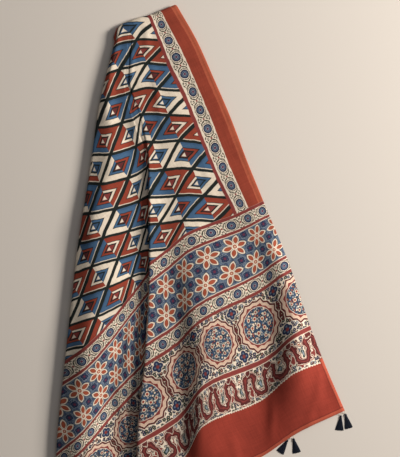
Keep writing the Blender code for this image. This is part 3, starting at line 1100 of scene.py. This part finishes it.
    def scroll(self, u: Any, level: Any) -> bpy.types.NodeSocket:
        """Draw the waving maroon scroll with a teardrop in each bend, on a floret ground.

        Args:
            u: Width from the long edge.
            level: Level on the cloth.

        Returns:
            The colour.
        """
        size = self.layout
        pitch, height = size.scroll_pitch, size.scroll_height
        narrow = pitch / 2 - size.scroll_wide
        colour = self.florets(u, level, 6.8)
        wander = self.add("TexNoise", {"Vector": self.add("CombineXYZ", (u, level)), "Scale": 0.06}, output="Color")
        wander_u, wander_level = self.parts(wander)
        u = self.add("Math", (wander_u, 22.0, u), operation="MULTIPLY_ADD")
        level = self.add("Math", (wander_level, 16.0, level), operation="MULTIPLY_ADD")
        y = self.add("Math", (level, size.scroll_level + 8.0), operation="SUBTRACT")
        x = self.add("Math", (u, pitch / 2, -pitch / 2), operation="WRAP")
        # The vine is a chain of wide half circles towards the hem and narrow ones away from it, joined
        # by straight stems.
        far_x = self.add("Math", (x,), operation="ABSOLUTE")
        other = self.add("Math", (pitch / 2, far_x), operation="SUBTRACT")
        in_wide = self.add("Math", (y, 0.0), operation="GREATER_THAN")
        near_x = self.add("Mix", {"Factor": in_wide, 2: other, 3: far_x})
        radius = self.add("Math", (in_wide, size.scroll_wide - narrow, narrow), operation="MULTIPLY_ADD")
        far_y = self.add("Math", (y,), operation="ABSOLUTE")
        stem = self.add("Math", (height, radius), operation="SUBTRACT")
        past_stem = self.add("Math", (far_y, stem), operation="SUBTRACT")
        past_stem = self.add("Math", (past_stem, 0.0), operation="MAXIMUM")
        flat = self.add("CombineXYZ", (near_x, past_stem))
        off = self.add("VectorMath", (flat,), operation="LENGTH", output="Value")
        off = self.add("Math", (off, radius), operation="SUBTRACT")
        off = self.add("Math", (off,), operation="ABSOLUTE")
        vine = (
            (0.0, Dye.MADDER_DARK),
            (1.0, Dye.MAROON),
            (5.4, Dye.COTTON),
            (6.3, Dye.MADDER_DARK),
            (7.6, Dye.COTTON),
        )
        colour = self.stamp(colour, self.rings(off, 12.0, vine), off, 8.4)
        place = self.add("CombineXYZ", (x, y))
        drop = self.leaf(place, (0.0, 3.0), 90.0, (9.0, 4.4))
        colour = self.stamp(colour, Dye.COTTON, drop, 0.9)
        colour = self.stamp(colour, Dye.BOTTLE_GREEN, drop)
        colour = self.stamp(colour, Dye.SLATE_LIGHT, drop, -2.4)
        eye = self.add("VectorMath", (place, (0.0, -15.0, 0.0)), operation="DISTANCE", output="Value")
        eye_rings = ((0.0, Dye.ORANGE_BROWN), (2.2, Dye.COTTON), (3.4, Dye.MAROON), (5.0, Dye.COTTON))
        colour = self.stamp(colour, self.rings(eye, 12.0, eye_rings), eye, 6.0)
        tip = self.add("CombineXYZ", (other, y))
        bud = self.leaf(tip, (0.0, -27.0), 90.0, (7.0, 6.0))
        colour = self.stamp(colour, Dye.COTTON, bud, 0.9)
        colour = self.stamp(colour, Dye.MAROON, bud)
        root = self.leaf(tip, (0.0, 9.0), 90.0, (9.0, 3.6))
        colour = self.stamp(colour, Dye.COTTON, root, 0.9)
        return self.stamp(colour, Dye.MADDER_DARK, root)

    def end_panel(self, u: Any, level: Any, strips: Any) -> bpy.types.NodeSocket:
        """Put the end panel together from its bands.

        Args:
            u: Width from the long edge.
            level: Level on the cloth.
            strips: Colour of the dotted strips.

        Returns:
            The colour.
        """
        size = self.layout
        y = self.add("Math", (level, size.star_level), operation="SUBTRACT")
        far = self.add("Math", (y,), operation="ABSOLUTE")
        inward = self.add("Math", (0.0, far), operation="SUBTRACT")
        past_florets = self.add("Math", (size.floret_start, level), operation="SUBTRACT")
        colour = self.stamp(strips, self.medallions(u, level), past_florets)
        past_line = self.add("Math", (size.line_level, level), operation="SUBTRACT")
        colour = self.stamp(colour, self.scroll(u, level), past_line)
        line = self.add("Math", (past_line,), operation="ABSOLUTE")
        colour = self.stamp(colour, Dye.COTTON, line, size.line_half + 1.2)
        colour = self.stamp(colour, Dye.MADDER_DARK, line, size.line_half)
        outer = self.add("Math", (far, 89.5), operation="SUBTRACT")
        outer = self.add("Math", (outer,), operation="ABSOLUTE")
        colour = self.stamp(colour, Dye.MADDER_DARK, outer, 3.5)
        colour = self.stamp(colour, Dye.MADDER_DARK, far, 59.0)
        colour = self.stamp(colour, Dye.COTTON, far, 53.0)
        colour = self.stamp(colour, self.stars(u, y), far, 51.5)
        past_band = self.add("Math", (size.band_start, level), operation="SUBTRACT")
        scallop = self.add("Math", (u, 3.0, -3.0), operation="WRAP")
        scallop = self.add("Math", (scallop,), operation="ABSOLUTE")
        scalloped = self.add("Math", (scallop, 0.7, past_band), operation="MULTIPLY_ADD")
        colour = self.stamp(colour, Dye.COTTON, past_band)
        colour = self.stamp(colour, Dye.RUST, scalloped, -1.2)
        light = self.add("Math", (u, past_band), operation="MAXIMUM")
        colour = self.stamp(colour, Dye.RUST_DARK, light, size.end_light + 1.2)
        colour = self.stamp(colour, Dye.RUST_LIGHT, light, size.end_light - 0.8)
        to_hem = self.add("Math", (size.hem_level, level), operation="SUBTRACT")
        colour = self.stamp(colour, Dye.RUST_DARK, to_hem, size.hem_width + 1.0)
        return self.stamp(colour, Dye.RUST_LIGHT, to_hem, size.hem_width - 1.2)

    def whole(self, place: Any) -> bpy.types.NodeSocket:
        """Put the whole print together.

        Args:
            place: Place on the flat cloth in millimetres.

        Returns:
            The colour.
        """
        size = self.layout
        u, level = self.parts(place)
        far_edge = self.add("Math", (size.cloth_width, u), operation="SUBTRACT")
        edge = self.add("Math", (u, far_edge), operation="MINIMUM")
        at_end = self.add("Math", (level, size.field_end), operation="GREATER_THAN")
        side_along = self.add("Math", (level, size.side_dot_level), operation="SUBTRACT")
        end_along = self.add("Math", (u, size.end_dot_u), operation="SUBTRACT")
        along = self.add("Mix", {"Factor": at_end, 2: side_along, 3: end_along})
        side_across = self.add("Math", (edge, size.side_strip_centre), operation="SUBTRACT")
        end_across = self.add("Math", (level, size.star_level), operation="SUBTRACT")
        end_across = self.add("Math", (end_across,), operation="ABSOLUTE")
        end_across = self.add("Math", (end_across, size.strip_centre), operation="SUBTRACT")
        across = self.add("Mix", {"Factor": at_end, 2: side_across, 3: end_across})
        strips = self.dotted_strip(along, across)
        colour = self.diamonds(place)
        colour = self.stamp(colour, Dye.MADDER_DARK, edge, size.side_end)
        colour = self.stamp(colour, strips, edge, size.side_line_start)
        colour = self.stamp(colour, Dye.MADDER, edge, size.side_rust)
        colour = self.stamp(colour, Dye.MADDER_LIGHT, edge, size.side_light)
        past_field = self.add("Math", (size.field_end, level), operation="SUBTRACT")
        return self.stamp(colour, self.end_panel(u, level, strips), past_field)


@dataclass(frozen=True)
class PrintedCotton:
    """Plain woven cotton, block printed and washed: matt, a little fuzzy, with uneven dye."""

    name: str = "block_printed_cotton"
    thread_pitch: float = 0.9
    slub_width: float = 3.0
    slub_length: float = 45.0
    block_wander: float = 1.4
    block_wander_size: float = 16.0

    def make(self) -> bpy.types.Material:
        """Make the cotton's material.

        Returns:
            The material.
        """
        material = bpy.data.materials.new(self.name)
        material.use_nodes = True
        tree = material.node_tree
        shader = tree.nodes["Principled BSDF"]
        flat = add_node(tree, "UVMap", uv_map="print")
        place = add_node(tree, "VectorMath", {0: flat, "Scale": 1 / MM}, operation="SCALE")
        # Hand blocks never meet exactly, so the print wanders by about a millimetre.
        wander = {"Vector": place, "Scale": 1 / self.block_wander_size, "Detail": 2.0}
        wander = add_node(tree, "TexNoise", wander, output="Color")
        wander = add_node(tree, "VectorMath", (wander, (0.5, 0.5, 0.5)), operation="SUBTRACT")
        amount = (2 * self.block_wander, 2 * self.block_wander, 0.0)
        wandered = add_node(tree, "VectorMath", (wander, amount, place), operation="MULTIPLY_ADD")
        colour = BlockPrint(tree).whole(wandered)
        # Dye takes unevenly, in soft patches and along thicker threads.
        patches = add_node(tree, "TexNoise", {"Vector": place, "Scale": 1 / 60.0, "Detail": 3.0})
        uneven = {"Value": patches, "From Min": 0.3, "From Max": 0.7, "To Min": 0.84, "To Max": 1.1}
        patches = add_node(tree, "MapRange", uneven)
        slubs = []
        long, wide = 1 / self.slub_length, 1 / self.slub_width
        for scale in ((long, wide, 1.0), (wide, long, 1.0)):
            stretched = add_node(tree, "VectorMath", (place, scale), operation="MULTIPLY")
            slubs.append(add_node(tree, "TexNoise", {"Vector": stretched, "Scale": 1.0, "Detail": 2.0}))
        slub = add_node(tree, "Math", slubs, operation="ADD")
        streaks = {"Value": slub, "From Min": 0.7, "From Max": 1.3, "To Min": 0.88, "To Max": 1.08}
        tone = add_node(tree, "MapRange", streaks)
        tone = add_node(tree, "Math", (tone, patches), operation="MULTIPLY")
        dyed = add_node(tree, "VectorMath", {0: colour, "Scale": tone}, operation="SCALE")
        tree.links.new(dyed, shader.inputs["Base Color"])
        # The weave is about 0.45 mm to a thread; it is drawn twice as coarse so that it shows close by.
        ups = []
        u = add_node(tree, "SeparateXYZ", (place,), output="X")
        level = add_node(tree, "SeparateXYZ", (place,), output="Y")
        for way in (u, level):
            turns = add_node(tree, "Math", (way, math.pi / self.thread_pitch), operation="MULTIPLY")
            ups.append(add_node(tree, "Math", (turns,), operation="SINE"))
        weave = add_node(tree, "Math", ups, operation="MULTIPLY")
        height = add_node(tree, "Math", (slub, 3.0, weave), operation="MULTIPLY_ADD")
        bump = {"Strength": 0.25, "Distance": 0.0002, "Height": height}
        tree.links.new(add_node(tree, "Bump", bump), shader.inputs["Normal"])
        shader.inputs["Roughness"].default_value = 0.88
        shader.inputs["Specular IOR Level"].default_value = 0.15
        shader.inputs["Sheen Weight"].default_value = 0.03
        shader.inputs["Sheen Roughness"].default_value = 0.5
        return material


@dataclass(frozen=True)
class TwistedThread:
    """Twisted cotton thread: matt, with fine slanting plies that catch the light."""

    name: str
    colour: str
    ply_pitch: float = 1.2

    def make(self) -> bpy.types.Material:
        """Make the thread's material.

        Returns:
            The material.
        """
        material = bpy.data.materials.new(self.name)
        material.use_nodes = True
        tree = material.node_tree
        shader = tree.nodes["Principled BSDF"]
        place = add_node(tree, "TexCoord", output="Object")
        millimetres = add_node(tree, "VectorMath", {0: place, "Scale": 1 / MM}, operation="SCALE")
        fuzz = add_node(tree, "TexNoise", {"Vector": millimetres, "Scale": 1.5, "Detail": 3.0})
        faded = {"Value": fuzz, "From Min": 0.3, "From Max": 0.7, "To Min": 0.5, "To Max": 1.7}
        tone = add_node(tree, "MapRange", faded)
        dyed = add_node(tree, "VectorMath", {0: linear(self.colour)[:3], "Scale": tone}, operation="SCALE")
        tree.links.new(dyed, shader.inputs["Base Color"])
        plies = {"Vector": millimetres, "Scale": 1 / self.ply_pitch, "Distortion": 2.0}
        plies = add_node(tree, "TexWave", plies, output="Fac")
        bump = {"Strength": 0.4, "Distance": 0.0002, "Height": plies}
        tree.links.new(add_node(tree, "Bump", bump), shader.inputs["Normal"])
        shader.inputs["Roughness"].default_value = 0.75
        shader.inputs["Specular IOR Level"].default_value = 0.25
        return material


@dataclass
class Tassel:
    """One thread tassel: a light hanging thread, a bound head and a fan of strands on the floor."""

    name: str
    node: str
    place: Vector
    hem_height: float
    heading: float
    seed: int
    thread_length: float = 7.0
    thread_radius: float = 0.4
    head_length: float = 7.0
    head_width: float = 4.8
    head_height: float = 3.2
    neck_half: float = 1.7
    strand_length: float = 26.0
    strand_radius: float = 0.5
    strands: int = 96
    fan_width: float = 18.5
    shorter_sides: float = 0.8
    skirt_height: float = 3.0

    def head(self) -> bpy.types.Mesh:
        """Spin the bound head from its profile, pointed at the thread and tied at the neck.

        Returns:
            The mesh of the head, in millimetres along +X.
        """
        half = self.head_width / 2
        start, length = self.thread_length - 1.0, self.head_length + 1.0
        profile = ((0.0, 0.12), (0.1, 0.34), (0.28, 0.72), (0.48, 0.98), (0.64, 0.96), (0.72, 0.8))
        binding = [(0.74 + 0.035 * k, 0.86 if k % 2 else 0.72) for k in range(6)]
        skirt = ((0.96, 0.82), (1.06, 0.9), (1.2, 0.86), (1.3, 0.3))
        bm = bmesh.new()
        verts = [bm.verts.new((start + length * x, half * r, 0.0)) for x, r in (*profile, *binding, *skirt)]
        edges = [bm.edges.new(pair) for pair in zip(verts, verts[1:])]
        spun = {"axis": (1, 0, 0), "cent": (0, 0, 0), "angle": 2 * math.pi, "steps": 14, "use_merge": True}
        bmesh.ops.spin(bm, geom=[*verts, *edges], **spun)
        bmesh.ops.holes_fill(bm, edges=[edge for edge in bm.edges if edge.is_boundary])
        squash = Matrix.Diagonal((1.0, 1.0, self.head_height / self.head_width, 1.0))
        lift = Matrix.Translation((0.0, 0.0, self.head_height / 2))
        bmesh.ops.transform(bm, matrix=lift @ squash, verts=bm.verts[:])
        bmesh.ops.recalc_face_normals(bm, faces=bm.faces[:])
        mesh = bpy.data.meshes.new("head")
        bm.to_mesh(mesh)
        bm.free()
        return mesh

    def strand_routes(self) -> list[list[Vector]]:
        """Work out the route of each strand, fanned out and lying in layers.

        Returns:
            One list of points for each strand.
        """
        chance = random.Random(self.seed)
        root = self.thread_length + self.head_length
        routes = []
        for number in range(self.strands):
            side = 2 * (number + 0.5) / self.strands - 1
            side = max(-1.0, min(1.0, side + chance.uniform(-0.08, 0.08)))
            layer = (number * 0.618) % 1.0
            reach = self.strand_length - self.shorter_sides * side**2 - 1.5 * layer
            reach += chance.uniform(-1.4, 0.6)
            bend = chance.uniform(-0.9, 0.9)
            points = []
            for step in range(7):
                t = step / 6
                widest = self.fan_width / 2 - self.strand_radius
                spread = self.neck_half + (widest - self.neck_half) * t
                crown = math.sqrt(max(0.0, 1.0 - 0.75 * side**2))
                top = self.skirt_height * crown * (1 - 0.35 * t) - self.strand_radius
                height = max(self.strand_radius, self.strand_radius + (top - self.strand_radius) * layer)
                across = side * spread + bend * math.sin(math.pi * t) * 0.6
                points.append(Vector((root - 2.0 + (reach + 2.0) * t, across, height)))
            routes.append(points)
        return routes

    def hanging_routes(self) -> list[list[Vector]]:
        """Work out the two twisted plies of the thread that holds the tassel to the hem.

        Returns:
            Two lists of points.
        """
        routes = []
        for ply in (0.0, math.pi):
            points = []
            for step in range(13):
                t = step / 12
                height = self.hem_height + (self.head_height / 2 - self.hem_height) * smooth_step(0, 1, t)
                turn = 5 * math.pi * t + ply
                off = Vector((0.0, math.cos(turn), math.sin(turn))) * self.thread_radius * 0.9
                points.append(Vector(((self.thread_length + 0.6) * t - 0.2, 0.0, height)) + off)
            routes.append(points)
        return routes

    def tubes(self, routes: list[list[Vector]], radius: float) -> bpy.types.Mesh:
        """Make round threads along their routes.

        Args:
            routes: Points of each thread.
            radius: Radius of each thread.

        Returns:
            One mesh of all threads.
        """
        curve = bpy.data.curves.new("threads", "CURVE")
        curve.dimensions = "3D"
        curve.bevel_depth = radius
        curve.bevel_resolution = 0
        curve.use_fill_caps = True
        for route in routes:
            spline = curve.splines.new("POLY")
            spline.points.add(len(route) - 1)
            for point, place in zip(spline.points, route):
                point.co = (*place, 1.0)
            spline.points[-1].radius = 0.7
        piece = bpy.data.objects.new("threads", curve)
        mesh = bpy.data.meshes.new_from_object(piece)
        bpy.data.objects.remove(piece)
        return mesh

    def build(self, materials: Sequence[bpy.types.Material]) -> bpy.types.Object:
        """Join head, strands and thread into one piece at its place on the hem.

        Args:
            materials: The strands' material and the hanging thread's.

        Returns:
            The tassel's object.
        """
        parts = (
            (self.head(), 0),
            (self.tubes(self.strand_routes(), self.strand_radius), 0),
            (self.tubes(self.hanging_routes(), self.thread_radius), 1),
        )
        bm = bmesh.new()
        for mesh, slot in parts:
            known = len(bm.faces)
            bm.from_mesh(mesh)
            bm.faces.ensure_lookup_table()
            for face in bm.faces[known:]:
                face.material_index = slot
                face.smooth = True
            bpy.data.meshes.remove(mesh)
        turn = Matrix.Rotation(math.radians(self.heading), 4, "Z")
        placed = Matrix.Translation(self.place) @ turn @ Matrix.Scale(MM, 4)
        bmesh.ops.transform(bm, matrix=placed, verts=bm.verts[:])
        mesh = bpy.data.meshes.new(self.name)
        bm.to_mesh(mesh)
        bm.free()
        for material in materials:
            mesh.materials.append(material)
        piece = bpy.data.objects.new(self.name, mesh)
        bpy.context.scene.collection.objects.link(piece)
        return piece


@dataclass
class TasselRow:
    """The tassels along the end hem, in pairs."""

    cloth: LaidCloth
    pitch: float = 130.0
    pair_gap: float = 8.0
    hem_gap: float = 0.4
    hem_probe: float = 4.0

    def outward(self, u: float) -> Vector:
        """Give the direction away from the cloth at the end hem.

        Args:
            u: Width from the long edge.

        Returns:
            A level unit vector.
        """
        along = self.cloth.hem_point(u + self.hem_probe) - self.cloth.hem_point(u - self.hem_probe)
        return Vector((along[2], along[1], 0.0)).normalized()

    def build(self, materials: Sequence[bpy.types.Material]) -> list[bpy.types.Object]:
        """Build every tassel, two for each pair.

        Args:
            materials: The strands' material and the hanging thread's.

        Returns:
            The tassels' objects.
        """
        pieces = []
        last = self.cloth.fold_point("left_fold", self.cloth.hem_level)[0] - self.pair_gap / 2 - self.hem_probe
        for number, first, second in TASSEL_PAIRS:
            middle = min(max(number * self.pitch, self.pair_gap / 2), last)
            for letter, side, heading in (("a", -0.5, first), ("b", 0.5, second)):
                u = middle + side * self.pair_gap
                point = self.cloth.hem_point(u)
                place = self.cloth.to_world(point) + self.outward(u) * (self.hem_gap * MM)
                place.z = 0.0
                node = f"tassel_{number + 1}{letter}"
                seed = 10 * number + len(pieces)
                tassel = Tassel(f"thread_{node}", node, place, point[3] - 0.8, heading, seed)
                piece = tassel.build(materials)
                dress(piece, node)
                pieces.append(piece)
        return pieces


def dress(piece: bpy.types.Object, node: str) -> None:
    """Tie a piece to its body and the solid that it replaces.

    Args:
        piece: The piece.
        node: Solid that it replaces.
    """
    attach(piece, BODY)
    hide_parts(node)
    LOG.info("%s replaces %s with %d faces", piece.name, node, len(piece.data.polygons))


@dataclass(frozen=True)
class Studio:
    """Pale floor, soft light and the camera straight above the cloth."""

    photo_scale: float = 2.15
    shoulder_corner: tuple[float, float] = (178.0, 8.0)
    camera_height: float = 3.0
    sensor: float = 36.0
    floor_half: float = 4.0
    floor_colour: str = "#DCD3CA"

    def floor(self) -> bpy.types.Object:
        """Lay the plain pale floor.

        Returns:
            The floor's object.
        """
        bm = bmesh.new()
        bmesh.ops.create_grid(bm, x_segments=1, y_segments=1, size=self.floor_half)
        mesh = bpy.data.meshes.new("floor")
        bm.to_mesh(mesh)
        bm.free()
        material = bpy.data.materials.new("pale_floor")
        material.use_nodes = True
        shader = material.node_tree.nodes["Principled BSDF"]
        shader.inputs["Base Color"].default_value = linear(self.floor_colour)
        shader.inputs["Roughness"].default_value = 0.9
        mesh.materials.append(material)
        floor = bpy.data.objects.new("floor", mesh)
        bpy.context.scene.collection.objects.link(floor)
        return floor

    def lamp(self, name: str, place: Vector, aim: Vector, power: float, size: float, colour: str) -> None:
        """Hang one soft lamp.

        Args:
            name: The lamp's name.
            place: Where it hangs.
            aim: Where it points.
            power: Its power in watts.
            size: Side of its square in metres.
            colour: Colour of its light.
        """
        light = bpy.data.lights.new(name, "AREA")
        light.energy = power
        light.size = size
        light.color = linear(colour)[:3]
        lamp = bpy.data.objects.new(name, light)
        lamp.location = place
        lamp.rotation_euler = (aim - place).to_track_quat("-Z", "Y").to_euler()
        bpy.context.scene.collection.objects.link(lamp)

    def build(self, cloth: LaidCloth) -> None:
        """Set floor, lamps, sky and camera around the cloth.

        Args:
            cloth: The laid cloth, whose shift places the photograph's middle.
        """
        self.floor()
        right = (PHOTO_WIDTH / 2 - self.shoulder_corner[0]) * self.photo_scale
        down = (PHOTO_HEIGHT / 2 - self.shoulder_corner[1]) * self.photo_scale
        middle = Vector((right * MM, -down * MM, 0.0)) + cloth.shift
        middle.z = 0.0
        self.lamp("key", middle + Vector((2.95, 0.9, 1.55)), middle, 181.0, 1.0, "#FFFAF2")
        self.lamp("fill", middle + Vector((0.9, 0.9, 2.6)), middle, 7.0, 1.8, "#F4F6FF")
        world = bpy.data.worlds.new("studio")
        world.use_nodes = True
        sky = world.node_tree.nodes["Background"]
        sky.inputs["Color"].default_value = linear("#F4F3F0")
        sky.inputs["Strength"].default_value = 0.13
        bpy.context.scene.world = world
        lens = bpy.data.cameras.new("camera")
        lens.sensor_width = self.sensor
        lens.lens = self.sensor * self.camera_height / (PHOTO_HEIGHT * self.photo_scale * MM)
        camera = bpy.data.objects.new("camera", lens)
        camera.location = middle + Vector((0.0, 0.0, self.camera_height))
        bpy.context.scene.collection.objects.link(camera)
        bpy.context.scene.camera = camera
        bpy.context.scene.view_settings.view_transform = "Standard"


def main() -> None:
    """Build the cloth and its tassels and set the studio."""
    logging.basicConfig(level=logging.INFO, format="%(message)s")
    cloth = LaidCloth()
    sheet = cloth.build()
    sheet.data.materials.append(PrintedCotton().make())
    dress(sheet, "cloth")
    threads = [TwistedThread("navy_cotton_thread", "#0D1424").make()]
    threads.append(TwistedThread("bare_cotton_thread", "#CFC7B4").make())
    tassels = TasselRow(cloth).build(threads)
    Studio().build(cloth)


if __name__ == "__main__":
    main()
